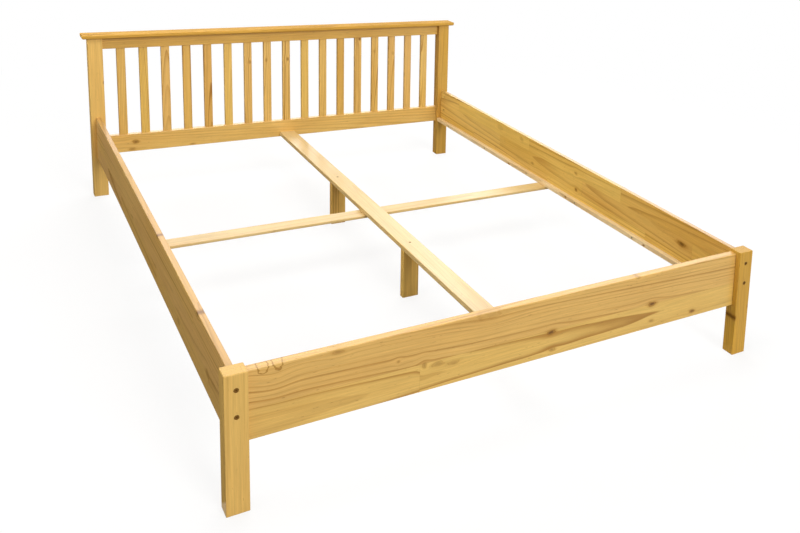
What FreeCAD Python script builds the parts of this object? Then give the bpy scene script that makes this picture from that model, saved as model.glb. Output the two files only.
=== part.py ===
import FreeCAD, Part

# A double bed frame in solid pine: a headboard of flat spindles under a moulded cap, a low foot
# end, two bolted side rails, and a centre beam on two legs.
# Millimetres. +Z is up, +Y points to the headboard, and the origin is on the floor under the
# middle of the bed.

import math
import os

from FreeCAD import Vector

# The mattress that the bed is built round
MATTRESS_WIDTH = 1600.0
MATTRESS_LENGTH = 2000.0
MATTRESS_PLAY = 5.0

# Posts, and how far the foot posts stand above the rails
POST_WIDTH = 56.0
POST_DEPTH = 42.0
FOOT_POST_RISE = 10.0
HEAD_POST_HEIGHT = 680.0

# Side rails and foot rail
RAIL_TOP = 343.0
RAIL_HEIGHT = 176.0
SIDE_RAIL_THICKNESS = 18.0
END_RAIL_THICKNESS = 24.0

# Headboard
UPPER_RAIL_HEIGHT = 49.0
LOWER_RAIL_TOP = 253.0
LOWER_RAIL_HEIGHT = 77.0
SPINDLE_COUNT = 17
SPINDLE_WIDTH = 34.0
SPINDLE_THICKNESS = 16.0
CAP_THICKNESS = 16.0
CAP_END_OVERHANG = 22.0
CAP_FRONT_OVERHANG = 14.0
CAP_BACK_OVERHANG = 12.0
CAP_TOP_ROUNDING = 3.0
CAP_UNDER_ROUNDING = 7.0
CAP_CORNER_ROUNDING = 4.0

# What the slatted base lies on
LEDGE_TOP = 197.0
LEDGE_HEIGHT = 18.0
BEAM_WIDTH = 70.0
BEAM_THICKNESS = 18.0
CROSS_SLAT_WIDTH = 60.0
CROSS_SLAT_THICKNESS = 10.0
LEG_WIDTH = 60.0
LEG_THICKNESS = 22.0
LEG_HOUSING = 4.0
CROSS_SLAT_FROM_FOOT = 1058.0
LEG_SPACING = 667.0

# Edges
EDGE_ROUNDING = 2.0
ARRIS_CHAMFER = 1.5
POST_TOP_CHAMFER = 1.5

# Joints
TENON_LENGTH = 20.0
TENON_THICKNESS = 10.0
TENON_SHOULDER = 12.0
SPINDLE_TENON_LENGTH = 12.0
SPINDLE_TENON_THICKNESS = 8.0
SPINDLE_TENON_SHOULDER = 4.0
GLUE_GAP = 0.1
END_GAP = 1.0

# Hardware. What is hidden in the wood has flat sides, to keep the model light.
HIDDEN_SIDES = 6
NUT_SIDES = 12
BOLT_HEIGHTS = (RAIL_TOP - 30.0, RAIL_TOP - 97.0)
BOLT_DIAMETER = 6.0
BOLT_HEAD_DIAMETER = 12.0
BOLT_HEAD_HEIGHT = 3.0
BOLT_HEAD_DEPTH = 4.0
BOLT_TIP_PAST_NUT = 7.0
SOCKET_ACROSS_FLATS = 5.0
SOCKET_DEPTH = 2.0
NUT_DIAMETER = 10.0
NUT_LENGTH = 13.0
NUT_FROM_END = 32.0
BORE_PLAY = 0.5
DOWEL_DIAMETER = 8.0
DOWEL_LENGTH = 36.0
CAP_DOWEL_LENGTH = 20.0
CAP_DOWEL_IN_CAP = 9.0
BEAM_DOWEL_LENGTH = 30.0
BEAM_DOWEL_IN_RAIL = 12.0
BEAM_DOWEL_SPACING = 36.0
CAP_DOWELS_IN_RAIL = 3
SCREW_DIAMETER = 4.0
SCREW_HEAD_DIAMETER = 8.0
SCREW_TIP_DIAMETER = 1.0
SCREW_SUNK = 0.2
SCREW_PLAY = 0.05
LEG_SCREW_LENGTH = 60.0
LEDGE_SCREW_LENGTH = 30.0
LEDGE_SCREW_COUNT = 6
LEDGE_SCREW_FROM_END = 120.0
SLAT_SCREW_LENGTH = 25.0
SLAT_SCREW_SPACING = 40.0

# Worked out from the sizes above
RAIL_INSET = (POST_WIDTH - SIDE_RAIL_THICKNESS) / 2
HALF_WIDTH = MATTRESS_WIDTH / 2 + MATTRESS_PLAY + SIDE_RAIL_THICKNESS + RAIL_INSET
POST_INNER = HALF_WIDTH - POST_WIDTH
POST_MIDDLE = HALF_WIDTH - POST_WIDTH / 2
RAIL_OUTER = HALF_WIDTH - RAIL_INSET
RAIL_INNER = RAIL_OUTER - SIDE_RAIL_THICKNESS
RAIL_BOTTOM = RAIL_TOP - RAIL_HEIGHT
OUTLINE_LENGTH = MATTRESS_LENGTH + 2 * POST_DEPTH + CAP_BACK_OVERHANG
FOOT_FRONT = -OUTLINE_LENGTH / 2
FOOT_BACK = FOOT_FRONT + POST_DEPTH
HEAD_FRONT = FOOT_BACK + MATTRESS_LENGTH
HEAD_BACK = HEAD_FRONT + POST_DEPTH
FOOT_RAIL_FRONT = FOOT_BACK - END_RAIL_THICKNESS
HEAD_RAIL_FRONT = HEAD_BACK - END_RAIL_THICKNESS
LOWER_RAIL_BOTTOM = LOWER_RAIL_TOP - LOWER_RAIL_HEIGHT
UPPER_RAIL_BOTTOM = HEAD_POST_HEIGHT - UPPER_RAIL_HEIGHT
LEDGE_BOTTOM = LEDGE_TOP - LEDGE_HEIGHT
BEAM_BOTTOM = LEDGE_TOP - BEAM_THICKNESS
CROSS_SLAT_Y = FOOT_BACK + CROSS_SLAT_FROM_FOOT
LEG_PLACES = {"foot": CROSS_SLAT_Y - LEG_SPACING / 2, "head": CROSS_SLAT_Y + LEG_SPACING / 2}
DOWEL_HEIGHT = sum(BOLT_HEIGHTS) / 2


def block(x, y, z):
    """A square-edged block between two values along each axis."""
    corner = Vector(x[0], y[0], z[0])
    return Part.makeBox(x[1] - x[0], y[1] - y[0], z[1] - z[0], corner)


def edges_along(solid, axis):
    """The straight edges of a block that lie along the axis."""
    found = []
    for edge in solid.Edges:
        direction = edge.Vertexes[-1].Point - edge.Vertexes[0].Point
        if direction.cross(axis).Length < 0.001:
            found.append(edge)
    return found


def board(x, y, z, grain):
    """A planed board: its four long edges are rounded, and its ends are cut square."""
    solid = block(x, y, z)
    return solid.makeFillet(EDGE_ROUNDING, edges_along(solid, grain))


def batten(x, y, z, grain):
    """A thinner stick, whose four long arrises are only taken off with a chamfer."""
    solid = block(x, y, z)
    return solid.makeChamfer(ARRIS_CHAMFER, edges_along(solid, grain))


def rod(diameter, length, start, direction):
    """A round rod or bore from a start point."""
    return Part.makeCylinder(diameter / 2, length, start, direction)


def polygon(diameter, height, sides):
    """A regular polygon round +Z at a height, with its corners on the diameter."""
    angles = [2 * math.pi * side / sides for side in range(sides)]
    radius = diameter / 2
    corners = [Vector(radius * math.cos(a), radius * math.sin(a), height) for a in angles]
    return Part.makePolygon(corners + corners[:1])


def flat_sided(sections, sides):
    """A pin along +Z through polygons, each given as its diameter and its height."""
    outlines = [polygon(diameter, height, sides) for diameter, height in sections]
    return Part.makeLoft(outlines, True, True)


def pin(diameter, length, start, direction, sides=HIDDEN_SIDES):
    """A hidden pin, shank or bore from a start point."""
    return placed(flat_sided([(diameter, 0), (diameter, length)], sides), start, direction)


def mirrored(solid):
    """The same piece for the other side of the bed."""
    return solid.mirror(Vector(0, 0, 0), Vector(1, 0, 0))


def both_sides(solids):
    """Right-hand pieces with their left-hand twins."""
    return solids + [mirrored(solid) for solid in solids]


# Hardware

def socket_bolt(start, direction):
    """A bolt with a flat head and a hexagon socket. It starts at the top of its head."""
    length = POST_DEPTH - BOLT_HEAD_DEPTH + NUT_FROM_END + BOLT_TIP_PAST_NUT
    up = Vector(0, 0, 1)
    head = rod(BOLT_HEAD_DIAMETER, BOLT_HEAD_HEIGHT, Vector(), up)
    shank = pin(BOLT_DIAMETER, length, up * BOLT_HEAD_HEIGHT, up)
    across_corners = SOCKET_ACROSS_FLATS / math.cos(math.pi / 6)
    socket = pin(across_corners, SOCKET_DEPTH, Vector(), up, 6)
    return placed(head.fuse(shank).cut(socket), start, direction)


def barrel_nut(centre, direction):
    """A cross dowel that lies across the side rail, with a slot in its end and a threaded bore."""
    start = centre - Vector(NUT_LENGTH / 2, 0, 0)
    nut = pin(NUT_DIAMETER, NUT_LENGTH, start, Vector(1, 0, 0), NUT_SIDES)
    bore_start = centre - direction * NUT_DIAMETER
    bore = pin(BOLT_DIAMETER + 2 * SCREW_PLAY, 2 * NUT_DIAMETER, bore_start, direction)
    slot_x = (start.x - 1.0, start.x + 1.5)
    slot_y = (centre.y - 0.75, centre.y + 0.75)
    slot_z = (centre.z - NUT_DIAMETER, centre.z + NUT_DIAMETER)
    return nut.cut(bore).cut(block(slot_x, slot_y, slot_z))


def dowel(length, start, direction):
    return pin(DOWEL_DIAMETER, length, start, direction)


def dowel_hole(length, start, direction):
    """The hole for a dowel, a little longer at both ends."""
    bottom = start - direction * END_GAP
    return pin(DOWEL_DIAMETER + 2 * GLUE_GAP, length + 2 * END_GAP, bottom, direction)


def screw(length, start, direction):
    """A countersunk wood screw from the top of its head."""
    return placed(flat_sided(screw_sections(length, 0.0), HIDDEN_SIDES), start, direction)


def screw_hole(length, start, direction):
    """The hole for a screw. It is open above the head, which lies just under the surface."""
    mouth = [(SCREW_HEAD_DIAMETER + 2 * SCREW_PLAY, -2 * SCREW_SUNK)]
    sections = mouth + screw_sections(length, SCREW_PLAY)
    return placed(flat_sided(sections, HIDDEN_SIDES), start, direction)


def screw_sections(length, play):
    """A screw's diameters and where they are along it, with some play all round."""
    neck = (SCREW_HEAD_DIAMETER - SCREW_DIAMETER) / 2
    sections = [(SCREW_HEAD_DIAMETER, 0.0), (SCREW_DIAMETER, neck)]
    sections += [(SCREW_DIAMETER, length - 2 * SCREW_DIAMETER), (SCREW_TIP_DIAMETER, length + play)]
    return [(diameter + 2 * play, height) for diameter, height in sections]


def placed(solid, start, direction):
    """Turns a piece made along +Z to a direction and moves its start there."""
    turn = FreeCAD.Rotation(Vector(0, 0, 1), Vector(direction))
    moved = solid.copy()
    moved.Placement = FreeCAD.Placement(Vector(start), turn)
    return moved


def screw_holes(screws):
    """One hole for each (length, start, direction) of a screw."""
    return [screw_hole(*place) for place in screws]


# Places of the hardware, for the right-hand side of the bed

def bolt_places():
    """Where each bolt head starts, which way it points, and where its barrel nut sits."""
    places = []
    ends = ((FOOT_FRONT, FOOT_BACK, 1), (HEAD_BACK, HEAD_FRONT, -1))
    for outer, inner, way in ends:
        for height in BOLT_HEIGHTS:
            head_y = outer + way * (BOLT_HEAD_DEPTH - BOLT_HEAD_HEIGHT)
            head = Vector(POST_MIDDLE, head_y, height)
            nut = Vector(POST_MIDDLE, inner + way * NUT_FROM_END, height)
            places.append((head, Vector(0, way, 0), nut))
    return places


def corner_dowel_places():
    """One dowel between the two bolts of each corner, half in the post and half in the rail."""
    starts = []
    for face in (FOOT_BACK, HEAD_FRONT):
        starts.append(Vector(POST_MIDDLE, face - DOWEL_LENGTH / 2, DOWEL_HEIGHT))
    return starts


def cap_dowel_places():
    """Dowels that fix the cap on the posts and on the upper rail."""
    start = HEAD_POST_HEIGHT + CAP_DOWEL_IN_CAP - CAP_DOWEL_LENGTH
    posts = [Vector(side * POST_MIDDLE, (HEAD_FRONT + HEAD_BACK) / 2, start) for side in (-1, 1)]
    rail_y = HEAD_RAIL_FRONT + END_RAIL_THICKNESS / 2
    step = 2 * POST_INNER / (CAP_DOWELS_IN_RAIL + 1)
    row = [Vector(-POST_INNER + step * (n + 1), rail_y, start) for n in range(CAP_DOWELS_IN_RAIL)]
    return posts + row


def beam_dowel_places():
    """Two dowels in each end of the centre beam."""
    height = BEAM_BOTTOM + BEAM_THICKNESS / 2
    starts = []
    for offset in (-BEAM_DOWEL_SPACING / 2, BEAM_DOWEL_SPACING / 2):
        starts.append(Vector(offset, FOOT_BACK - BEAM_DOWEL_IN_RAIL, height))
        head_start = HEAD_RAIL_FRONT + BEAM_DOWEL_IN_RAIL - BEAM_DOWEL_LENGTH
        starts.append(Vector(offset, head_start, height))
    return starts


def ledge_screw_places():
    """A row of screws through the ledge into the side rail."""
    first = FOOT_BACK + LEDGE_SCREW_FROM_END
    last = HEAD_FRONT - LEDGE_SCREW_FROM_END
    step = (last - first) / (LEDGE_SCREW_COUNT - 1)
    height = LEDGE_BOTTOM + LEDGE_HEIGHT / 2
    rows = []
    for number in range(LEDGE_SCREW_COUNT):
        start = Vector(POST_INNER + SCREW_SUNK, first + number * step, height)
        rows.append((LEDGE_SCREW_LENGTH, start, Vector(1, 0, 0)))
    return rows


def leg_screw_places():
    """One screw down through the beam into the end of each centre leg."""
    places = []
    for y in LEG_PLACES.values():
        places.append((LEG_SCREW_LENGTH, Vector(0, y, LEDGE_TOP - SCREW_SUNK), Vector(0, 0, -1)))
    return places


def slat_screw_places():
    """Screws up through the cross slat: one into each ledge and two into the beam."""
    under = LEDGE_BOTTOM - CROSS_SLAT_THICKNESS + SCREW_SUNK
    ledge_middle = (POST_INNER + RAIL_INNER) / 2
    across = (-ledge_middle, -SLAT_SCREW_SPACING / 2, SLAT_SCREW_SPACING / 2, ledge_middle)
    up = Vector(0, 0, 1)
    return [(SLAT_SCREW_LENGTH, Vector(x, CROSS_SLAT_Y, under), up) for x in across]


# Timber

def tenon_span(low, high):
    """The height of a rail's tenon between its shoulders."""
    return (low + TENON_SHOULDER, high - TENON_SHOULDER)


def end_rail(front, low, high):
    """A rail between two posts, with a stub tenon on each end."""
    y = (front, front + END_RAIL_THICKNESS)
    solid = board((-POST_INNER, POST_INNER), y, (low, high), Vector(1, 0, 0))
    reach = POST_INNER + TENON_LENGTH
    middle = front + END_RAIL_THICKNESS / 2
    cheeks = (middle - TENON_THICKNESS / 2, middle + TENON_THICKNESS / 2)
    tenon = block((-reach, reach), cheeks, tenon_span(low, high))
    return solid.fuse(tenon).removeSplitter()


def rail_mortise(front, low, high):
    """The mortise in a right-hand post for the tenon of an end rail."""
    middle = front + END_RAIL_THICKNESS / 2
    half = TENON_THICKNESS / 2 + GLUE_GAP
    bottom, top = tenon_span(low, high)
    depth = (POST_INNER - 1.0, POST_INNER + TENON_LENGTH + END_GAP)
    return block(depth, (middle - half, middle + half), (bottom - GLUE_GAP, top + GLUE_GAP))


def post_blank(front, height):
    """A right-hand post with its long edges rounded."""
    x = (POST_INNER, HALF_WIDTH)
    return board(x, (front, front + POST_DEPTH), (0, height), Vector(0, 0, 1))


def post_cuts(front, rails):
    """The mortises for a post's rails, its bolt holes and its dowel hole."""
    cuts = [rail_mortise(*rail) for rail in rails]
    for head, direction, nut in bolt_places():
        outer = head - direction * (BOLT_HEAD_DEPTH - BOLT_HEAD_HEIGHT)
        if front <= outer.y <= front + POST_DEPTH:
            cuts.append(rod(BOLT_HEAD_DIAMETER + BORE_PLAY, BOLT_HEAD_DEPTH, outer, direction))
            cuts.append(pin(BOLT_DIAMETER + BORE_PLAY, POST_DEPTH, outer, direction))
    cuts += [dowel_hole(DOWEL_LENGTH, start, Vector(0, 1, 0)) for start in corner_dowel_places()]
    return cuts


def foot_post():
    """The right-hand foot post. Its top stands above the rails and is chamfered all round."""
    top = RAIL_TOP + FOOT_POST_RISE
    solid = post_blank(FOOT_FRONT, top)
    rim = [edge for edge in solid.Edges if lies_at(edge, top)]
    solid = solid.makeChamfer(POST_TOP_CHAMFER, rim)
    return solid.cut(post_cuts(FOOT_FRONT, [(FOOT_RAIL_FRONT, RAIL_BOTTOM, RAIL_TOP)]))


def head_post():
    """The right-hand head post, under the cap."""
    rails = [(HEAD_RAIL_FRONT, LOWER_RAIL_BOTTOM, LOWER_RAIL_TOP)]
    rails.append((HEAD_RAIL_FRONT, UPPER_RAIL_BOTTOM, HEAD_POST_HEIGHT))
    cuts = post_cuts(HEAD_FRONT, rails) + cap_dowel_holes()
    return post_blank(HEAD_FRONT, HEAD_POST_HEIGHT).cut(cuts)


def cap_dowel_holes():
    return [dowel_hole(CAP_DOWEL_LENGTH, start, Vector(0, 0, 1)) for start in cap_dowel_places()]


def beam_dowel_holes():
    return [dowel_hole(BEAM_DOWEL_LENGTH, start, Vector(0, 1, 0)) for start in beam_dowel_places()]


def spindle_places():
    """The middle of each spindle, with equal gaps between spindles and beside the posts."""
    gap = (2 * POST_INNER - SPINDLE_COUNT * SPINDLE_WIDTH) / (SPINDLE_COUNT + 1)
    pitch = SPINDLE_WIDTH + gap
    return [-POST_INNER - SPINDLE_WIDTH / 2 + pitch * (n + 1) for n in range(SPINDLE_COUNT)]


def spindle_tenon(middle, grow, extra):
    """The tongue through a spindle from end to end. Grown, it is the pair of mortises for it."""
    half_width = SPINDLE_WIDTH / 2 - SPINDLE_TENON_SHOULDER + grow
    half_thickness = SPINDLE_TENON_THICKNESS / 2 + grow
    centre = HEAD_RAIL_FRONT + END_RAIL_THICKNESS / 2
    reach = SPINDLE_TENON_LENGTH + extra
    z = (LOWER_RAIL_TOP - reach, UPPER_RAIL_BOTTOM + reach)
    x = (middle - half_width, middle + half_width)
    return block(x, (centre - half_thickness, centre + half_thickness), z)


def spindle(middle):
    """One flat spindle with its stub tenons."""
    centre = HEAD_RAIL_FRONT + END_RAIL_THICKNESS / 2
    x = (middle - SPINDLE_WIDTH / 2, middle + SPINDLE_WIDTH / 2)
    y = (centre - SPINDLE_THICKNESS / 2, centre + SPINDLE_THICKNESS / 2)
    body = batten(x, y, (LOWER_RAIL_TOP, UPPER_RAIL_BOTTOM), Vector(0, 0, 1))
    return body.fuse(spindle_tenon(middle, 0.0, 0.0)).removeSplitter()


def spindle_mortises():
    return [spindle_tenon(middle, GLUE_GAP, END_GAP) for middle in spindle_places()]


def head_lower_rail():
    solid = end_rail(HEAD_RAIL_FRONT, LOWER_RAIL_BOTTOM, LOWER_RAIL_TOP)
    return solid.cut(spindle_mortises() + beam_dowel_holes())


def head_upper_rail():
    solid = end_rail(HEAD_RAIL_FRONT, UPPER_RAIL_BOTTOM, HEAD_POST_HEIGHT)
    return solid.cut(spindle_mortises() + cap_dowel_holes())


def foot_rail():
    return end_rail(FOOT_RAIL_FRONT, RAIL_BOTTOM, RAIL_TOP).cut(beam_dowel_holes())


def head_cap():
    """The cap over the headboard. Its top edge is eased and its under edge is well rounded."""
    reach = HALF_WIDTH + CAP_END_OVERHANG
    y = (HEAD_FRONT - CAP_FRONT_OVERHANG, HEAD_BACK + CAP_BACK_OVERHANG)
    z = (HEAD_POST_HEIGHT, HEAD_POST_HEIGHT + CAP_THICKNESS)
    solid = block((-reach, reach), y, z)
    solid = solid.makeFillet(CAP_CORNER_ROUNDING, edges_along(solid, Vector(0, 0, 1)))
    for height, radius in ((z[0], CAP_UNDER_ROUNDING), (z[1], CAP_TOP_ROUNDING)):
        loop = [edge for edge in solid.Edges if lies_at(edge, height)]
        solid = solid.makeFillet(radius, loop)
    return solid.cut(cap_dowel_holes())


def lies_at(edge, height):
    """True where an edge lies level at a height."""
    box = edge.BoundBox
    return abs(box.ZMin - height) < 0.001 and abs(box.ZMax - height) < 0.001


def side_rail():
    """The right-hand side rail, bored in its ends for bolts and dowels and across for the nuts."""
    y = (FOOT_BACK, HEAD_FRONT)
    solid = board((RAIL_INNER, RAIL_OUTER), y, (RAIL_BOTTOM, RAIL_TOP), Vector(0, 1, 0))
    cuts = []
    nut_depth = SIDE_RAIL_THICKNESS / 2 + NUT_LENGTH / 2 + BORE_PLAY
    for head, direction, nut in bolt_places():
        end = nut - direction * (NUT_FROM_END + 1.0)
        reach = NUT_FROM_END + BOLT_TIP_PAST_NUT + 3.0
        cuts.append(pin(BOLT_DIAMETER + BORE_PLAY, reach, end, direction))
        mouth = Vector(RAIL_INNER, nut.y, nut.z)
        nut_hole = pin(NUT_DIAMETER + BORE_PLAY, nut_depth, mouth, Vector(1, 0, 0), NUT_SIDES)
        cuts.append(nut_hole)
    for start in corner_dowel_places():
        cuts.append(dowel_hole(DOWEL_LENGTH, start, Vector(0, 1, 0)))
    return solid.cut(cuts + screw_holes(ledge_screw_places()))


def ledge():
    """The right-hand ledge along the side rail, level with the post's inner face."""
    y = (FOOT_BACK, HEAD_FRONT)
    solid = batten((POST_INNER, RAIL_INNER), y, (LEDGE_BOTTOM, LEDGE_TOP), Vector(0, 1, 0))
    return solid.cut(screw_holes(ledge_screw_places() + slat_screw_places()))


def leg_section(y, grow):
    """How a centre leg's section lies round its place along the bed."""
    half_width = LEG_WIDTH / 2 + grow
    half_thickness = LEG_THICKNESS / 2 + grow
    return (-half_width, half_width), (y - half_thickness, y + half_thickness)


def centre_leg(y):
    """A flat leg whose top sits in a shallow housing in the beam."""
    across, along = leg_section(y, 0.0)
    top = BEAM_BOTTOM + LEG_HOUSING
    solid = batten(across, along, (0, top), Vector(0, 0, 1))
    return solid.cut(screw_holes(leg_screw_places()))


def centre_beam():
    """The flat beam from the foot rail to the headboard, housed below for the two legs."""
    x = (-BEAM_WIDTH / 2, BEAM_WIDTH / 2)
    solid = batten(x, (FOOT_BACK, HEAD_RAIL_FRONT), (BEAM_BOTTOM, LEDGE_TOP), Vector(0, 1, 0))
    cuts = beam_dowel_holes() + screw_holes(leg_screw_places() + slat_screw_places())
    for y in LEG_PLACES.values():
        across, along = leg_section(y, GLUE_GAP)
        cuts.append(block(across, along, (BEAM_BOTTOM - 1.0, BEAM_BOTTOM + LEG_HOUSING)))
    return solid.cut(cuts)


def cross_slat():
    """The thin slat from ledge to ledge, under the ledges and the beam."""
    x = (-RAIL_INNER, RAIL_INNER)
    y = (CROSS_SLAT_Y - CROSS_SLAT_WIDTH / 2, CROSS_SLAT_Y + CROSS_SLAT_WIDTH / 2)
    z = (LEDGE_BOTTOM - CROSS_SLAT_THICKNESS, LEDGE_BOTTOM)
    return batten(x, y, z, Vector(1, 0, 0)).cut(screw_holes(slat_screw_places()))


# The bed as named pieces

def timber():
    pieces = {
        "head_cap": head_cap(),
        "head_upper_rail": head_upper_rail(),
        "head_lower_rail": head_lower_rail(),
        "foot_rail": foot_rail(),
        "centre_beam": centre_beam(),
        "cross_slat": cross_slat(),
    }
    pairs = {"head_post": head_post(), "foot_post": foot_post()}
    pairs["side_rail"] = side_rail()
    pairs["ledge"] = ledge()
    for name, solid in pairs.items():
        pieces[name + "_right"] = solid
        pieces[name + "_left"] = mirrored(solid)
    for number, middle in enumerate(spindle_places(), 1):
        pieces[f"head_spindle_{number:02d}"] = spindle(middle)
    for end, y in LEG_PLACES.items():
        pieces["centre_leg_" + end] = centre_leg(y)
    return pieces


def hardware():
    along = Vector(0, 1, 0)
    up = Vector(0, 0, 1)
    bolts = [socket_bolt(head, direction) for head, direction, nut in bolt_places()]
    nuts = [barrel_nut(nut, direction) for head, direction, nut in bolt_places()]
    corner_dowels = [dowel(DOWEL_LENGTH, start, along) for start in corner_dowel_places()]
    ledge_screws = [screw(*place) for place in ledge_screw_places()]
    per_end = len(BOLT_HEIGHTS)
    groups = {
        "foot_bolts": both_sides(bolts[:per_end]),
        "head_bolts": both_sides(bolts[per_end:]),
        "foot_barrel_nuts": both_sides(nuts[:per_end]),
        "head_barrel_nuts": both_sides(nuts[per_end:]),
        "corner_dowels": both_sides(corner_dowels),
        "cap_dowels": [dowel(CAP_DOWEL_LENGTH, start, up) for start in cap_dowel_places()],
        "beam_dowels": [dowel(BEAM_DOWEL_LENGTH, start, along) for start in beam_dowel_places()],
        "ledge_screws": both_sides(ledge_screws),
        "leg_screws": [screw(*place) for place in leg_screw_places()],
        "cross_slat_screws": [screw(*place) for place in slat_screw_places()],
    }
    return {name: Part.makeCompound(solids) for name, solids in groups.items()}


os.makedirs("parts", exist_ok=True)
for name, shape in {**timber(), **hardware()}.items():
    shape.exportStep(f"parts/{name}.step")
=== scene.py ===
"""A double bed frame in lacquered pine, in a plain white studio.

Every board keeps its solid from the frame and gets pine of its own: growth rings round a pith that
runs along the grain, staves glued edge to edge, knots where the photograph shows them, and a thin
satin lacquer. The two screws that show in the beam get a turned form with a cross recess.
"""

import math
import random

import bmesh
import bpy
from mathutils import Matrix, Vector


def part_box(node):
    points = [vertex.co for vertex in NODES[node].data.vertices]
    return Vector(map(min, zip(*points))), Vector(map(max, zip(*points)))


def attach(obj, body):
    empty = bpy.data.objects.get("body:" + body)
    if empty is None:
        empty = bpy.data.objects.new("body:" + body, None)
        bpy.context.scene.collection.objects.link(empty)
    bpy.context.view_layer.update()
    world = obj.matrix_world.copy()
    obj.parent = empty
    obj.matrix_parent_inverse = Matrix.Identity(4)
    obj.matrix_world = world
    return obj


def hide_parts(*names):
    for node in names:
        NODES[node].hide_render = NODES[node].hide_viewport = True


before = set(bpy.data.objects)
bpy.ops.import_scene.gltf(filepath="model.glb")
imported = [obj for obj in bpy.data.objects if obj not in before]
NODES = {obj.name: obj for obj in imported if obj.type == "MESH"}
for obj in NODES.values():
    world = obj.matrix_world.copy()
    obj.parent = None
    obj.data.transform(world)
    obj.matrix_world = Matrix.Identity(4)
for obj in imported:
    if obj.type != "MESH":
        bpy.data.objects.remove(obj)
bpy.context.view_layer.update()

MM = 0.001


def new_object(name, data):
    """Puts a mesh, a lamp, a camera or a bare set of axes in the scene."""
    made = bpy.data.objects.new(name, data)
    bpy.context.scene.collection.objects.link(made)
    return made


# Camera -----------------------------------------------------------------------------------------

PHOTO_WIDTH = 800
SENSOR = 36.0
FOCAL_PIXELS = 921.85
EYE = Vector((-1.2992, -2.8556, 1.5289))

# Each axis is (heading clockwise from +Y, elevation), in degrees. The photograph's uprights stay
# almost parallel although the lens looks down, as with a view camera whose back stands upright, so
# the picture's axes aren't square to the line of sight.
LINE_OF_SIGHT = (26.120, -26.267)
PICTURE_RIGHT = (121.288, 4.320)
PICTURE_UP = (20.922, 79.762)


def direction(heading, elevation):
    """A unit vector, from a heading and an elevation in degrees."""
    heading, elevation = math.radians(heading), math.radians(elevation)
    level = math.cos(elevation)
    return Vector((math.sin(heading) * level, math.cos(heading) * level, math.sin(elevation)))


def make_camera():
    """The photograph's viewpoint: above the foot end's left corner, looking along the bed."""
    axes = (direction(*PICTURE_RIGHT), direction(*PICTURE_UP), -direction(*LINE_OF_SIGHT))
    camera = new_object("camera", bpy.data.cameras.new("camera"))
    camera.parent = new_object("camera_stand", None)
    camera.matrix_parent_inverse = Matrix.Translation(EYE) @ Matrix(axes).transposed().to_4x4()
    camera.data.sensor_width = SENSOR
    camera.data.lens = FOCAL_PIXELS / PHOTO_WIDTH * SENSOR
    bpy.context.scene.camera = camera


# Nodes and materials ----------------------------------------------------------------------------

def srgb(code):
    """A hex colour as linear red, green, blue and alpha."""
    shares = [int(code[i:i + 2], 16) / 255 for i in (1, 3, 5)]
    linear = [c / 12.92 if c <= 0.04045 else ((c + 0.055) / 1.055) ** 2.4 for c in shares]
    return (*linear, 1.0)


def add(tree, kind, inputs=(), **settings):
    """Adds a node with its settings. Each input is a value or a socket to link from.

    The inputs are a dict by name or number, or a plain list in the node's own order."""
    made = tree.nodes.new("ShaderNode" + kind)
    for name, value in settings.items():
        setattr(made, name, value)
    pairs = inputs.items() if isinstance(inputs, dict) else enumerate(inputs)
    for socket, value in pairs:
        if isinstance(value, bpy.types.NodeSocket):
            tree.links.new(value, made.inputs[socket])
        else:
            made.inputs[socket].default_value = value
    return made


def empty_material(name):
    """A material and its node tree, with no node in it yet."""
    material = bpy.data.materials.new(name)
    material.use_nodes = True
    material.node_tree.nodes.clear()
    return material, material.node_tree


def give(node, material):
    """Puts one material on a CAD node."""
    obj = NODES[node]
    obj.data.materials.clear()
    obj.data.materials.append(material)


# Pine -------------------------------------------------------------------------------------------

# Pine boards, planed, sanded and lacquered. Early wood is pale straw, late wood is a narrow honey
# line, and a year's ring grows from one to the other and stops short. Planed and sanded, the figure
# is colour with hardly any relief, and the thin clear lacquer gives a satin sheen at a low angle.
EARLY_WOOD = "#E0BA5E"
HONEY_WOOD = "#CA9A38"
ROSY_WOOD = "#DAAB68"
MELLOW_WOOD = "#CB9F50"
PALE_BATTEN = "#D4BC82"
PALE_LEDGE = "#EEDCB0"
LATE_WOOD = "#A06C1E"
KNOT_HALO = "#AC7828"
KNOT_RIM = "#98681A"
KNOT_CORE = "#6E4608"
PITCH = "#7A4E1A"
GLUE = "#9C6E28"

# The size of each drawn-out noise, as (along the grain, across it), in millimetres. Real fibres,
# pitch flecks and glue lines are 0.2 mm wide at most. They are drawn coarser, so that they show.
SWAY_SIZE = (667, 143)
BLOTCH_SIZE = (400, 83.3)
STREAK_SIZE = (160, 4)
FIBRE_SIZE = (25, 0.7)
FLECK_SIZE = (22.2, 2.63)
RAGGED_SIZE = (22.2, 8.33)
GLUE_LINE = 0.8 * MM

# Staves. Each row's joints are shifted along from the last row's by a share of a stave's length,
# and the glue lines show faintly.
ROW_STAGGER = 0.382
GLUE_SHARE = 0.35

# Steps from one board's seed to the next, and from one stave's chance to the next, in the noises,
# so that no two boards or staves have the same wood.
STAVE_STEP = 13.7
YEAR_STEP = 3.1
BLOTCH_STEP = 5.3
STAVE_SHIFT = (37, 37, 37)

# A knot's halo, rim and core, as (full at, gone at, strength), in radii of the knot. The halo and
# the core are measured from its middle, and the rim from the ring where it is darkest. All have
# ragged edges. The grain parts round the knot, more as the dark fills it, and closes up outside.
HALO = (1.3, 2.6, 0.7)
RIM = (0.04, 0.2, 0.8)
CORE = (0.9, 1.6, 1.0)
RIM_AT = 1.5
RAGGEDNESS = 1.2
PARTING = 0.3
PARTING_BY_FILL = 0.55
PARTING_FALL = -0.12

# How much the staves' piths differ, to either side: in metres, as a share of the depth, as a slope.
PITH_ASIDE = 30 * MM
PITH_DEPTH = 0.25
PITH_LEAN = 0.01

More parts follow.
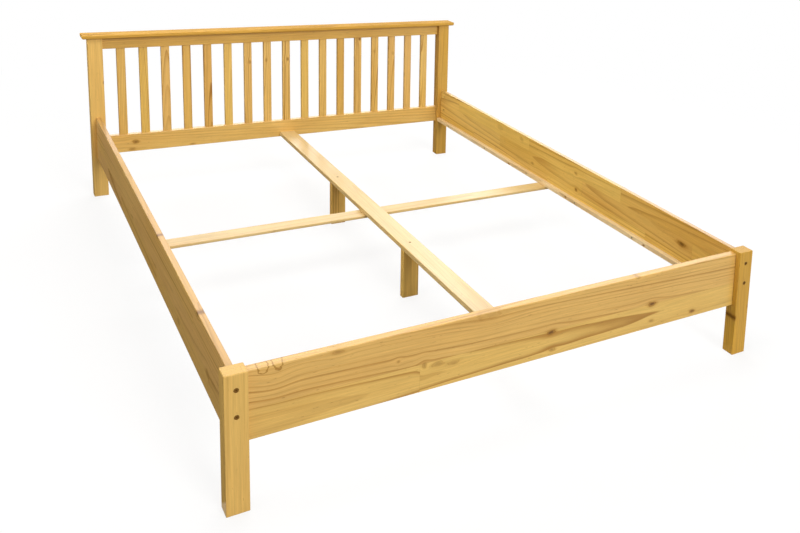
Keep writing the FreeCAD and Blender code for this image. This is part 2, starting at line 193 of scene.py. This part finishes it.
# Rings. They sway to either side, and run close together and wide apart by turns of about three
# years. Late wood grows from the middle of the year until it is full, and then stops short. The
# palest year has only a share of the darkest's strength, and where the sway is low it is fainter.
SWAY = 5.0 * MM
SLOW_YEARS = 0.31
SLOW_SPREAD = 1.6
LATE_FROM = 0.5
LATE_FULL = 0.94
PALEST_YEAR = 0.2
FAINT_SPAN = (0.35, 0.6)
FAINT_SHARE = (0.55, 1.0)

# Colour. Each span is where a noise takes effect, and the pair after it is the effect. A blotch
# takes a board towards straw or honey, and chance makes a stave a little rosy.
BLOTCH_SPAN = (0.35, 0.7)
BLOTCH_TINT = (-0.35, 0.15)
ROSY_LUCK = 0.35
NOISE_SPAN = (0.3, 0.7)
FIBRE_SHADE = (0.93, 1.05)
STREAK_SHADE = (0.87, 1.08)
FLECK_SPAN = (0.72, 0.8)
FLECK_SHARE = (0.0, 0.6)

# Surface. The late wood stands a little prouder than the fibres, under the lacquer.
LATE_RELIEF = 0.6
RELIEF = 0.1 * MM
RELIEF_STRENGTH = 0.25
EASED_EDGE = 1.6 * MM
WOOD_ROUGHNESS = 0.6
LACQUER_ROUGHNESS = 0.32
LACQUER_IOR = 1.5


def middle_of(node):
    """The middle of a CAD node's box."""
    corners = NODES[node].bound_box
    return (Vector(corners[0]) + Vector(corners[6])) / 2


def grain_frame(tree, along, across, middle):
    """The place on a board as (along the grain, across its face, through it), from its middle."""
    through = ({"X", "Y", "Z"} - {along, across}).pop()
    place = add(tree, "TexCoord").outputs["Object"]
    local = add(tree, "VectorMath", (place, middle), operation="SUBTRACT").outputs[0]
    parts = add(tree, "SeparateXYZ", [local]).outputs
    return add(tree, "CombineXYZ", [parts[axis] for axis in (along, across, through)]).outputs[0]


def grain_noise(tree, place, size, detail, shift=(0, 0, 0)):
    """Noise drawn out along the grain. Its size is (along, across), in millimetres."""
    along, across = (1 / (length * MM) for length in size)
    cells = (place, (along, across, across), shift)
    cells = add(tree, "VectorMath", cells, operation="MULTIPLY_ADD").outputs[0]
    return add(tree, "TexNoise", {"Vector": cells, "Scale": 1.0, "Detail": detail}).outputs[0]


def glued_staves(tree, place, width, length, seam, joint, seed):
    """Staves glued edge to edge and finger-jointed end to end.

    Gives three random numbers for each stave, as a vector, and a mask of the glue lines."""
    parts = add(tree, "SeparateXYZ", [place]).outputs
    from_seam = add(tree, "Math", (parts["Y"], seam), operation="SUBTRACT").outputs[0]
    rows = add(tree, "Math", (from_seam, width), operation="DIVIDE").outputs[0]
    row = add(tree, "Math", [rows], operation="FLOOR").outputs[0]
    stagger = (row, ROW_STAGGER, ROW_STAGGER - joint / length)
    stagger = add(tree, "Math", stagger, operation="MULTIPLY_ADD").outputs[0]
    lengths = (parts["X"], 1 / length, stagger)
    lengths = add(tree, "Math", lengths, operation="MULTIPLY_ADD").outputs[0]
    column = add(tree, "Math", [lengths], operation="FLOOR").outputs[0]
    key = add(tree, "CombineXYZ", (row, column, seed)).outputs[0]
    chance = add(tree, "TexWhiteNoise", {"Vector": key}, noise_dimensions="3D").outputs["Color"]
    edges = []
    for count, size in ((rows, width), (lengths, length)):
        share = add(tree, "Math", (count, 0.5), operation="PINGPONG").outputs[0]
        edges.append(add(tree, "Math", (share, size), operation="MULTIPLY").outputs[0])
    nearest = add(tree, "Math", edges, operation="MINIMUM").outputs[0]
    line = add(tree, "MapRange", (nearest, 0.0, GLUE_LINE, GLUE_SHARE, 0.0)).outputs[0]
    return chance, line


def part_round_knots(tree, place, knots):
    """The place with the grain parted round the knots, and masks of their halos, rims and cores."""
    ragged = grain_noise(tree, place, RAGGED_SIZE, 2.0)
    bent = place
    masks = []
    for along, across, radius, stretch, dark, fill in knots:
        at = (along, across, 0)
        shrink = (1 / (radius * stretch * MM), 1 / (radius * MM), 0)
        offset = add(tree, "VectorMath", (place, at), operation="SUBTRACT").outputs[0]
        scaled = add(tree, "VectorMath", (offset, shrink), operation="MULTIPLY").outputs[0]
        reach = add(tree, "VectorMath", [scaled], operation="LENGTH").outputs["Value"]

        square = add(tree, "Math", (reach, reach), operation="MULTIPLY").outputs[0]
        fall = add(tree, "Math", (square, PARTING_FALL), operation="MULTIPLY").outputs[0]
        swell = add(tree, "Math", [fall], operation="EXPONENT").outputs[0]
        pull = (0, -PARTING - PARTING_BY_FILL * fill, 0)
        parted = add(tree, "VectorMath", (offset, pull), operation="MULTIPLY").outputs[0]
        parted = add(tree, "VectorMath", {0: parted, "Scale": swell}, operation="SCALE").outputs[0]
        bent = add(tree, "VectorMath", (bent, parted), operation="ADD").outputs[0]

        edge = add(tree, "Math", (ragged, RAGGEDNESS, reach), operation="MULTIPLY_ADD").outputs[0]
        off_rim = add(tree, "Math", (edge, RIM_AT), operation="SUBTRACT").outputs[0]
        off_rim = add(tree, "Math", [off_rim], operation="ABSOLUTE").outputs[0]
        own = []
        for distance, zone, share in ((edge, HALO, fill), (off_rim, RIM, 1), (edge, CORE, fill)):
            full, gone, strength = zone
            mask = (distance, full, gone, strength * dark * share, 0.0)
            mask = add(tree, "MapRange", mask, interpolation_type="SMOOTHSTEP").outputs[0]
            own.append(mask)
        if masks:
            pairs = zip(masks, own)
            own = [add(tree, "Math", pair, operation="MAXIMUM").outputs[0] for pair in pairs]
        masks = own
    return bent, masks


def growth_rings(tree, place, chance, seed, pith, ring):
    """Late wood, from 0 to 1, in rings round a pith that runs along the grain, behind the face."""
    aside, depth, lean = pith
    usual = Vector((aside * MM, depth * MM, lean))
    spread = Vector((PITH_ASIDE, PITH_DEPTH * depth * MM, PITH_LEAN))
    own = (chance, 2 * spread, usual - spread)
    own = add(tree, "VectorMath", own, operation="MULTIPLY_ADD").outputs[0]
    aside, depth, lean = add(tree, "SeparateXYZ", [own]).outputs
    middle = add(tree, "CombineXYZ", (0, aside, depth)).outputs[0]
    centred = add(tree, "VectorMath", (place, middle), operation="SUBTRACT").outputs[0]
    section = add(tree, "VectorMath", (centred, (0, 1, 1)), operation="MULTIPLY").outputs[0]
    radius = add(tree, "VectorMath", [section], operation="LENGTH").outputs["Value"]

    shift = add(tree, "VectorMath", (chance, STAVE_SHIFT), operation="MULTIPLY").outputs[0]
    sway = grain_noise(tree, place, SWAY_SIZE, 3.0, shift)
    radius = add(tree, "Math", (sway, 2 * SWAY, radius), operation="MULTIPLY_ADD").outputs[0]
    along = add(tree, "SeparateXYZ", [place]).outputs["X"]
    radius = add(tree, "Math", (along, lean, radius), operation="MULTIPLY_ADD").outputs[0]
    years = add(tree, "Math", (radius, ring * MM), operation="DIVIDE").outputs[0]
    slow = {"W": years, "Scale": SLOW_YEARS}
    slow = add(tree, "TexNoise", slow, noise_dimensions="1D").outputs[0]
    years = add(tree, "Math", (slow, SLOW_SPREAD, years), operation="MULTIPLY_ADD").outputs[0]

    season = add(tree, "Math", [years], operation="FRACT").outputs[0]
    grow = (season, LATE_FROM, LATE_FULL, 0.0, 1.0)
    grow = add(tree, "MapRange", grow, interpolation_type="SMOOTHSTEP").outputs[0]
    stop = (season, LATE_FULL, 1.0, 1.0, 0.0)
    stop = add(tree, "MapRange", stop, interpolation_type="SMOOTHSTEP").outputs[0]
    late = add(tree, "Math", (grow, stop), operation="MULTIPLY").outputs[0]

    year = add(tree, "Math", [years], operation="FLOOR").outputs[0]
    year = add(tree, "Math", (year, seed), operation="ADD").outputs[0]
    vigour = add(tree, "TexWhiteNoise", {"W": year}, noise_dimensions="1D").outputs["Value"]
    vigour = add(tree, "Math", (vigour, vigour), operation="MULTIPLY").outputs[0]
    vigour = (vigour, 1 - PALEST_YEAR, PALEST_YEAR)
    vigour = add(tree, "Math", vigour, operation="MULTIPLY_ADD").outputs[0]
    faint = add(tree, "MapRange", (sway, *FAINT_SPAN, *FAINT_SHARE)).outputs[0]
    vigour = add(tree, "Math", (vigour, faint), operation="MULTIPLY").outputs[0]
    return add(tree, "Math", (late, vigour), operation="MULTIPLY").outputs[0]


def tinted_wood(tree, place, chance, shift, early, honey, rosy, variety):
    """Early wood's colour: straw to honey in broad patches, and a little rosy by chance."""
    luck = add(tree, "SeparateXYZ", [chance]).outputs
    blotch = grain_noise(tree, place, BLOTCH_SIZE, 2.0, (shift, 0, 0))
    patch = (blotch, *BLOTCH_SPAN, *(honey + tint for tint in BLOTCH_TINT))
    patch = add(tree, "MapRange", patch).outputs[0]
    tint = (luck["Y"], variety, patch)
    tint = add(tree, "Math", tint, operation="MULTIPLY_ADD", use_clamp=True).outputs[0]
    colour = {0: tint, 6: srgb(early), 7: srgb(HONEY_WOOD)}
    colour = add(tree, "Mix", colour, data_type="RGBA").outputs[2]
    rosy = add(tree, "Math", (luck["Z"], ROSY_LUCK, rosy), operation="MULTIPLY_ADD").outputs[0]
    colour = {0: rosy, 6: colour, 7: srgb(ROSY_WOOD)}
    return add(tree, "Mix", colour, data_type="RGBA").outputs[2]


def dress(node, along, across, pith=(0, 60, 0.0), staves=None, seed=1, honey=0.3, rosy=0.1,
          contrast=0.9, ring=6.0, knots=(), sheen=1.0, early=EARLY_WOOD, variety=0.4):
    """Gives a board lacquered pine of its own, with its grain along one of the bed's axes.

    The pith is (aside, behind the face, lean), in millimetres and as a slope. Staves are (width,
    length, a seam's place across, a joint's place along), in millimetres of the bed. So are the
    knots: (along, across, radius, stretch along the grain, darkness, and how far the dark fills it,
    where 0 leaves only a rim). Honey and rosy shift the tint, contrast is the late wood's strength
    and a ring is one year's growth, in millimetres. Sheen is the lacquer's share of shine, and
    variety is how much the staves' tones differ."""
    middle = middle_of(node)
    mid_along, mid_across = (middle["XYZ".index(axis)] for axis in (along, across))
    material, tree = empty_material("pine_" + node)
    place = grain_frame(tree, along, across, middle)
    layers = []
    if staves:
        width, length, seam, joint = (value * MM for value in staves)
        start = (seam - mid_across, joint - mid_along)
        chance, line = glued_staves(tree, place, width, length, *start, seed * STAVE_STEP)
        layers.append((line, GLUE))
    else:
        draw = random.Random(seed)
        chance = add(tree, "CombineXYZ", [draw.random() for _ in range(3)]).outputs[0]
    knots = [(x * MM - mid_along, y * MM - mid_across, *rest) for x, y, *rest in knots]
    bent, masks = part_round_knots(tree, place, knots)
    layers.extend(zip(masks, (KNOT_HALO, KNOT_RIM, KNOT_CORE)))

    colour = tinted_wood(tree, place, chance, seed * BLOTCH_STEP, early, honey, rosy, variety)
    late = growth_rings(tree, bent, chance, seed * YEAR_STEP, pith, ring)
    late_share = add(tree, "Math", (late, contrast), operation="MULTIPLY").outputs[0]
    colour = {0: late_share, 6: colour, 7: srgb(LATE_WOOD)}
    colour = add(tree, "Mix", colour, data_type="RGBA").outputs[2]
    fibre = grain_noise(tree, place, FIBRE_SIZE, 3.0)
    streak = grain_noise(tree, bent, STREAK_SIZE, 3.0)
    shades = ((fibre, FIBRE_SHADE), (streak, STREAK_SHADE))
    shades = [add(tree, "MapRange", (by, *NOISE_SPAN, *span)).outputs[0] for by, span in shades]
    value = add(tree, "Math", shades, operation="MULTIPLY").outputs[0]
    colour = add(tree, "HueSaturation", {"Value": value, "Color": colour}).outputs[0]
    fleck = grain_noise(tree, place, FLECK_SIZE, 1.0)
    pitch = add(tree, "MapRange", (fleck, *FLECK_SPAN, *FLECK_SHARE)).outputs[0]
    for share, paint in [(pitch, PITCH), *layers]:
        colour = {0: share, 6: colour, 7: srgb(paint)}
        colour = add(tree, "Mix", colour, data_type="RGBA").outputs[2]

    relief = add(tree, "Math", (late, LATE_RELIEF, fibre), operation="MULTIPLY_ADD").outputs[0]
    eased = add(tree, "Bevel", {"Radius": EASED_EDGE}, samples=4).outputs[0]
    bump = {"Height": relief, "Strength": RELIEF_STRENGTH, "Distance": RELIEF, "Normal": eased}
    bump = add(tree, "Bump", bump).outputs[0]
    finish = {"Base Color": colour, "Roughness": WOOD_ROUGHNESS, "Specular IOR Level": 0.0,
              "Normal": bump, "Coat Weight": sheen, "Coat Roughness": LACQUER_ROUGHNESS,
              "Coat IOR": LACQUER_IOR, "Coat Normal": bump}
    surface = add(tree, "BsdfPrincipled", finish).outputs[0]
    add(tree, "OutputMaterial", {"Surface": surface})
    give(node, material)


# Boards -----------------------------------------------------------------------------------------

# The knots lie where the photograph shows them: (along, across, radius, stretch, darkness, fill).
FOOT_RAIL_KNOTS = (
    (68, 239, 7, 2.2, 1.0, 1), (71, 186, 6, 2.2, 0.5, 1), (438, 245, 7, 2.4, 1.0, 1),
    (439, 190, 5, 1.8, 0.4, 1), (608, 185, 5, 2.2, 0.8, 1), (379, 342, 4, 2.0, 0.3, 1),
    (-330, 240, 8, 0.8, 0.5, 0.8), (-292, 234, 7, 2.5, 0.4, 0.8), (-244, 226, 6, 3.0, 0.35, 0.8),
    (-565, 336, 5, 3.0, 0.35, 1), (-747, 344, 19, 0.7, 1.0, 0), (-711, 346, 21, 0.6, 1.0, 0),
    (-404, 269, 4, 1.2, 0.4, 1), (-137, 338, 14, 2.6, 0.3, 0.5),
)
LOWER_RAIL_KNOTS = (
    (-668, 218, 8, 1.5, 0.8, 0.8), (-683, 186, 6, 2.2, 0.4, 1), (-432, 183, 4, 3.0, 0.4, 1),
)
RIGHT_RAIL_KNOTS = (
    (-770, 261, 8, 2.6, 1.0, 1), (-163, 235, 6, 1.2, 1.0, 1), (-156, 302, 6, 1.5, 0.5, 1),
    (421, 317, 12, 1.8, 0.4, 0.4), (243, 320, 9, 1.5, 0.35, 0.8), (152, 238, 6, 1.6, 0.4, 1),
)
LEFT_RAIL_KNOTS = (
    (-505, 201, 9, 1.6, 0.5, 0.7), (-824, 226, 10, 1.6, 0.5, 0.7), (-238, 341, 7, 1.4, 0.8, 1),
    (-731, 341, 8, 1.4, 0.8, 1),
)
LEDGE_KNOTS = (
    (-600, 186, 4, 1.5, 0.8, 1), (-120, 190, 4, 1.5, 0.8, 1), (310, 184, 4, 1.5, 0.8, 1),
)
FOOT_POST_KNOTS = ((129, 786, 5, 1.6, 0.9, 1), (160, 840, 4, 1.6, 0.6, 1))
HEAD_POST_KNOTS = ((494, -786, 4, 1.5, 0.6, 1),)

# By the spindle's number, as (up, aside from its middle, radius, darkness, fill).
SPINDLE_KNOTS = {
    7: (540, 8, 5, 0.7, 0.7), 8: (545, -6, 5, 0.7, 0.6), 9: (545, 6, 5, 0.8, 0.8),
    13: (624, 6, 5, 1.0, 1), 14: (560, -4, 5, 0.5, 0.5), 15: (545, 6, 5, 0.5, 0.5),
}
SPINDLE_KNOT_STRETCH = 1.6
SPINDLES = 17
DARK_SPINDLES = (5, 12)
DARK_SPINDLE_HONEY = 0.75


def dress_rails():
    dress("foot_rail", "X", "Z", pith=(-60, 80, 0.015), staves=(120, 2400, 245, -343), seed=667,
          honey=0.2, rosy=0.2, ring=9, knots=FOOT_RAIL_KNOTS, sheen=0.7)
    dress("head_lower_rail", "X", "Z", pith=(-60, 60, 0.02), seed=5, honey=0.1, rosy=0.15,
          contrast=0.55, ring=8, knots=LOWER_RAIL_KNOTS)
    dress("head_upper_rail", "X", "Z", pith=(50, 50, 0.02), seed=6, honey=0.5)
    dress("head_cap", "X", "Y", pith=(0, 60, 0.01), seed=7, honey=1.2, rosy=0, contrast=1.5,
          sheen=0.1)
    dress("side_rail_right", "Y", "Z", pith=(40, 70, 0.02), staves=(59, 620, 343, 183), seed=49,
          honey=0.1, rosy=0, contrast=0.85, ring=10, knots=RIGHT_RAIL_KNOTS, variety=0.85)
    dress("side_rail_left", "Y", "Z", pith=(-40, 70, 0.02), staves=(59, 620, 343, -60), seed=9,
          honey=0.25, rosy=0.5, ring=8, knots=LEFT_RAIL_KNOTS, sheen=0.75)


def dress_battens():
    """The ledges, the beam and the slat under it are paler than the boards outside."""
    dress("ledge_right", "Y", "Z", seed=10, honey=0.1, contrast=0.5, knots=LEDGE_KNOTS,
          early=PALE_LEDGE)
    dress("ledge_left", "Y", "Z", seed=11, honey=0.1, contrast=0.5, early=PALE_LEDGE)
    dress("centre_beam", "Y", "X", pith=(20, 40, 0.01), seed=12, honey=0, rosy=0, contrast=0.5,
          early=PALE_BATTEN)
    dress("cross_slat", "X", "Y", pith=(20, 40, 0.01), seed=13, honey=0, rosy=0, contrast=0.45,
          early=PALE_BATTEN)


def dress_posts_and_legs():
    """The right posts are mellower than the left ones. Three of the four are glued up."""
    dress("foot_post_left", "Z", "X", pith=(8, 40, 0.01), staves=(56, 2000, -797, 2000), seed=14,
          honey=0.05, rosy=0.35, contrast=0.45, sheen=0.5)
    dress("foot_post_right", "Z", "X", pith=(-20, 40, 0.02), staves=(36, 2000, 806, 2000), seed=15,
          honey=0.8, rosy=-0.4, knots=FOOT_POST_KNOTS, sheen=0.4, early=MELLOW_WOOD)
    dress("head_post_left", "Z", "X", pith=(10, 40, 0.01), seed=16, honey=0.05, rosy=0.35,
          contrast=0.45, knots=HEAD_POST_KNOTS, sheen=0.5)
    dress("head_post_right", "Z", "X", pith=(10, 40, 0.01), staves=(28, 2000, 814, 2000), seed=17,
          honey=0.5, rosy=-0.3, sheen=0.6, early=MELLOW_WOOD)
    dress("centre_leg_foot", "Z", "X", pith=(10, 30, 0.01), seed=18, honey=0.15)
    dress("centre_leg_head", "Z", "X", pith=(10, 30, 0.01), seed=19, honey=0.15)


def dress_spindles():
    """Each spindle is cut from another place in the log. Its numbers are drawn in a fixed order."""
    draw = random.Random(4)
    for number in range(1, SPINDLES + 1):
        name = f"head_spindle_{number:02d}"
        knots = []
        if number in SPINDLE_KNOTS:
            up, aside, radius, dark, fill = SPINDLE_KNOTS[number]
            across = middle_of(name).x / MM + aside
            knots.append((up, across, radius, SPINDLE_KNOT_STRETCH, dark, fill))
        dark = number in DARK_SPINDLES
        honey = DARK_SPINDLE_HONEY if dark else draw.uniform(0.05, 0.45)
        pith = (draw.uniform(-25, 25), draw.uniform(20, 50), draw.uniform(-0.03, 0.03))
        contrast = draw.uniform(1.1, 1.8)
        rosy = draw.uniform(0, 0.3)
        dress(name, "Z", "X", pith=pith, seed=20 + number, honey=honey, rosy=rosy,
              contrast=contrast, ring=4.5, knots=knots)


def dress_dowels():
    for node in ("corner_dowels", "cap_dowels", "beam_dowels"):
        dress(node, "Z", "X", seed=60, contrast=0.3)


# Steel ------------------------------------------------------------------------------------------

# The coat's unevenness, as a fine mottle in its roughness.
MOTTLE_SIZE = 1.11 * MM
MOTTLE_ROUGHNESS = 0.08


def steel(name, colour, roughness):
    """Cold-headed steel with a thin coat: metallic, satin, and a little uneven."""
    material, tree = empty_material(name)
    place = add(tree, "TexCoord").outputs["Object"]
    mottle = {"Vector": place, "Scale": 1 / MOTTLE_SIZE, "Detail": 2.0}
    mottle = add(tree, "TexNoise", mottle).outputs[0]
    span = (roughness - MOTTLE_ROUGHNESS, roughness + MOTTLE_ROUGHNESS)
    gloss = add(tree, "MapRange", (mottle, 0.0, 1.0, *span)).outputs[0]
    finish = {"Base Color": srgb(colour), "Metallic": 1.0, "Roughness": gloss}
    surface = add(tree, "BsdfPrincipled", finish).outputs[0]
    add(tree, "OutputMaterial", {"Surface": surface})
    return material


def dress_steel():
    """Bronzed bolts look like old brass, zinc plate pale grey, and oiled nuts almost black."""
    bronzed = steel("bronzed_steel", "#7C5A2A", 0.5)
    zinc = steel("zinc_plated_steel", "#8F897B", 0.45)
    oiled = steel("oiled_steel", "#241C14", 0.6)
    for node in ("foot_bolts", "head_bolts"):
        give(node, bronzed)
    make_leg_screws(bronzed)
    for node in ("foot_barrel_nuts", "head_barrel_nuts"):
        give(node, oiled)
    for node in ("ledge_screws", "cross_slat_screws"):
        give(node, zinc)


# Radius and depth below the top of the head, in millimetres: rim, neck, start of the tip and tip.
# The rim stands just above the beam and covers the edge of the hole.
SCREW_OUTLINE = (
    (4.1, 0), (4.25, 0.08), (4.2, 0.15), (3.4, 0.15), (2, 2.2), (2, 52.4), (0.5, 60.4),
)
SCREW_RAISE = 0.4 * MM
SCREW_SIDES = 40
SHARP_ANGLE = 35

# The cross recess: each arm's reach and half its width, and the depth, at the top and the bottom.
RECESS_OUTLINE = ((2.4, 0.6, 0), (1.1, 0.4, 1.6))


def cross_corners(reach, half_width):
    """The twelve corners of an upright cross."""
    arm = ((reach, -half_width), (reach, half_width), (half_width, half_width))
    turns = ((1, 0), (0, 1), (-1, 0), (0, -1))
    return [(x * c - y * s, x * s + y * c) for c, s in turns for x, y in arm]


def ring_of_points(form, points, top, depth):
    """A level ring of vertices, in millimetres round a screw's axis and below its top."""
    return [form.verts.new((top.x + x * MM, top.y + y * MM, top.z - depth * MM)) for x, y in points]


def join_rings(form, upper, lower):
    """A band of faces between two rings."""
    for i in range(len(upper)):
        form.faces.new((upper[i - 1], upper[i], lower[i], lower[i - 1]))


def turn_screw(form, top):
    """A countersunk screw that points down, with a cross recess pressed into its head."""
    angles = [2 * math.pi * side / SCREW_SIDES for side in range(SCREW_SIDES)]
    rounds = []
    for radius, depth in SCREW_OUTLINE:
        points = [(radius * math.cos(a), radius * math.sin(a)) for a in angles]
        rounds.append(ring_of_points(form, points, top, depth))
    for upper, lower in zip(rounds, rounds[1:]):
        join_rings(form, upper, lower)
    form.faces.new(rounds[-1])
    recess = []
    for reach, half_width, depth in RECESS_OUTLINE:
        recess.append(ring_of_points(form, cross_corners(reach, half_width), top, depth))
    join_rings(form, *recess)
    form.faces.new(recess[-1])
    rims = (rounds[0], recess[0])
    edges = [form.edges.get((rim[i - 1], rim[i])) for rim in rims for i in range(len(rim))]
    bmesh.ops.triangle_fill(form, edges=edges, use_beauty=True)


def make_leg_screws(material):
    """The two screws that hold the beam on its legs. Their heads show on the beam."""
    low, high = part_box("leg_screws")
    radius = (high.x - low.x) / 2
    form = bmesh.new()
    for y in (low.y + radius, high.y - radius):
        turn_screw(form, Vector(((low.x + high.x) / 2, y, high.z + SCREW_RAISE)))
    bmesh.ops.recalc_face_normals(form, faces=form.faces)
    mesh = bpy.data.meshes.new("leg_screws_turned")
    form.to_mesh(mesh)
    form.free()
    mesh.shade_smooth()
    mesh.set_sharp_from_angle(angle=math.radians(SHARP_ANGLE))
    mesh.materials.append(material)
    screws = new_object("leg_screws_turned", mesh)
    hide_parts("leg_screws")
    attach(screws, "root")


# Studio -----------------------------------------------------------------------------------------

WHITE = (1, 1, 1, 1)
ROOM_LIGHT = 0.35

FLOOR_REACH = 14.0
FLOOR_PAINT = "#A2A2A0"
FLOOR_SEEN = "#F6F6F5"
SHADOW_SHARE = 0.22
SHADOW_FADE = (1.9, 3.4)

CARD_OUTLINE = ((-3.2, -1.6), (-0.9, -1.6), (-0.9, -1.0), (1.2, -1.0), (1.2, 5.0), (-3.2, 5.0))
CARD_HEIGHT = 2 * MM
CARD_FELT = "#3C342A"

# Name, place, the point it is turned to, size (across, up), power in watts, spread in degrees.
# The wall is behind the headboard and high, and shines in the lacquer of every upward face.
SOFTBOXES = (
    ("front", (2.4, -16.0, 7.0), (0.2, 0, 0.3), (6.4, 6.4), 1830, 180),
    ("overhead", (-0.6, -0.4, 3.2), (0, 0, 0.2), (2.4, 2.4), 50, 180),
    ("left", (-6.0, 0.0, 1.6), (-0.8, 0, 0.25), (3.0, 1.5), 31, 180),
    ("left_grid", (-2.8, -0.2, 1.8), (0.8, 0, 0.25), (2.6, 0.6), 4.5, 40),
    ("wall", (2.6, 5.4, 3.8), (0, 0, 0.3), (9, 4.5), 360, 180),
)


def seen_directly(tree):
    """1 for rays from the camera and for reflections and refractions, which meet the white."""
    rays = add(tree, "LightPath").outputs
    seen = (rays["Is Camera Ray"], rays["Is Glossy Ray"])
    seen = add(tree, "Math", seen, operation="MAXIMUM").outputs[0]
    seen = (seen, rays["Is Transmission Ray"])
    return add(tree, "Math", seen, operation="MAXIMUM").outputs[0]


def make_level(name, outline, height, material):
    """A level face, for the studio."""
    mesh = bpy.data.meshes.new(name)
    mesh.from_pydata([(x, y, height) for x, y in outline], [], [range(len(outline))])
    mesh.materials.append(material)
    return new_object(name, mesh)


def make_floor():
    """A floor without an edge. It is seen as white and keeps a pale trace of the bed's shadow.

    Light that bounces off it finds a greyer paint, so the bed's sides keep their depth."""
    material, tree = empty_material("studio_floor")
    seen = seen_directly(tree)
    place = add(tree, "TexCoord").outputs["Object"]
    reach = add(tree, "VectorMath", [place], operation="LENGTH").outputs["Value"]
    fade = (reach, *SHADOW_FADE, 1 - SHADOW_SHARE, 1.0)
    fade = add(tree, "MapRange", fade, interpolation_type="SMOOTHSTEP").outputs[0]
    colour = {0: seen, 6: srgb(FLOOR_PAINT), 7: srgb(FLOOR_SEEN)}
    colour = add(tree, "Mix", colour, data_type="RGBA").outputs[2]
    paint = add(tree, "BsdfDiffuse", {"Color": colour}).outputs[0]
    white = add(tree, "Emission", {"Color": WHITE, "Strength": 1.0}).outputs[0]
    share = add(tree, "Math", (seen, fade), operation="MULTIPLY").outputs[0]
    mixed = add(tree, "MixShader", (share, paint, white)).outputs[0]
    add(tree, "OutputMaterial", {"Surface": mixed})
    corners = [(x * FLOOR_REACH, y * FLOOR_REACH) for x, y in ((-1, -1), (1, -1), (1, 1), (-1, 1))]
    floor = make_level("floor", corners, 0, material)


def make_reflection_card():
    """A dark card on the floor, seen only in the lacquer, so upright faces don't look milky."""
    material, tree = empty_material("dark_card")
    felt = add(tree, "BsdfDiffuse", {"Color": srgb(CARD_FELT)}).outputs[0]
    add(tree, "OutputMaterial", {"Surface": felt})
    card = make_level("reflection_card", CARD_OUTLINE, CARD_HEIGHT, material)
    for ray in ("camera", "diffuse", "shadow", "transmission"):
        setattr(card, "visible_" + ray, False)


def make_world():
    """An even white room, seen as pure white."""
    world = bpy.data.worlds.new("studio")
    bpy.context.scene.world = world
    world.use_nodes = True
    tree = world.node_tree
    tree.nodes.clear()
    room = add(tree, "Background", {"Color": WHITE, "Strength": ROOM_LIGHT}).outputs[0]
    white = add(tree, "Background", {"Color": WHITE, "Strength": 1.0}).outputs[0]
    mixed = add(tree, "MixShader", (seen_directly(tree), room, white)).outputs[0]
    add(tree, "OutputWorld", {"Surface": mixed})


def make_softbox(name, at, aim, size, power, spread):
    """An oblong lamp turned to a point."""
    light = bpy.data.lights.new(name, "AREA")
    light.shape = "RECTANGLE"
    light.size, light.size_y = size
    light.energy = power
    light.spread = math.radians(spread)
    lamp = new_object(name, light)
    lamp.location = at
    lamp.rotation_mode = "QUATERNION"
    lamp.rotation_quaternion = (Vector(aim) - Vector(at)).to_track_quat("-Z", "Y")
    lamp.visible_camera = False


def light_studio():
    """Even light from all round, softboxes in front, overhead and on the left, and a lit wall."""
    make_floor()
    make_reflection_card()
    make_world()
    for softbox in SOFTBOXES:
        make_softbox(*softbox)
    bpy.context.scene.view_settings.view_transform = "Standard"


make_camera()
dress_rails()
dress_battens()
dress_posts_and_legs()
dress_spindles()
dress_steel()
dress_dowels()
light_studio()
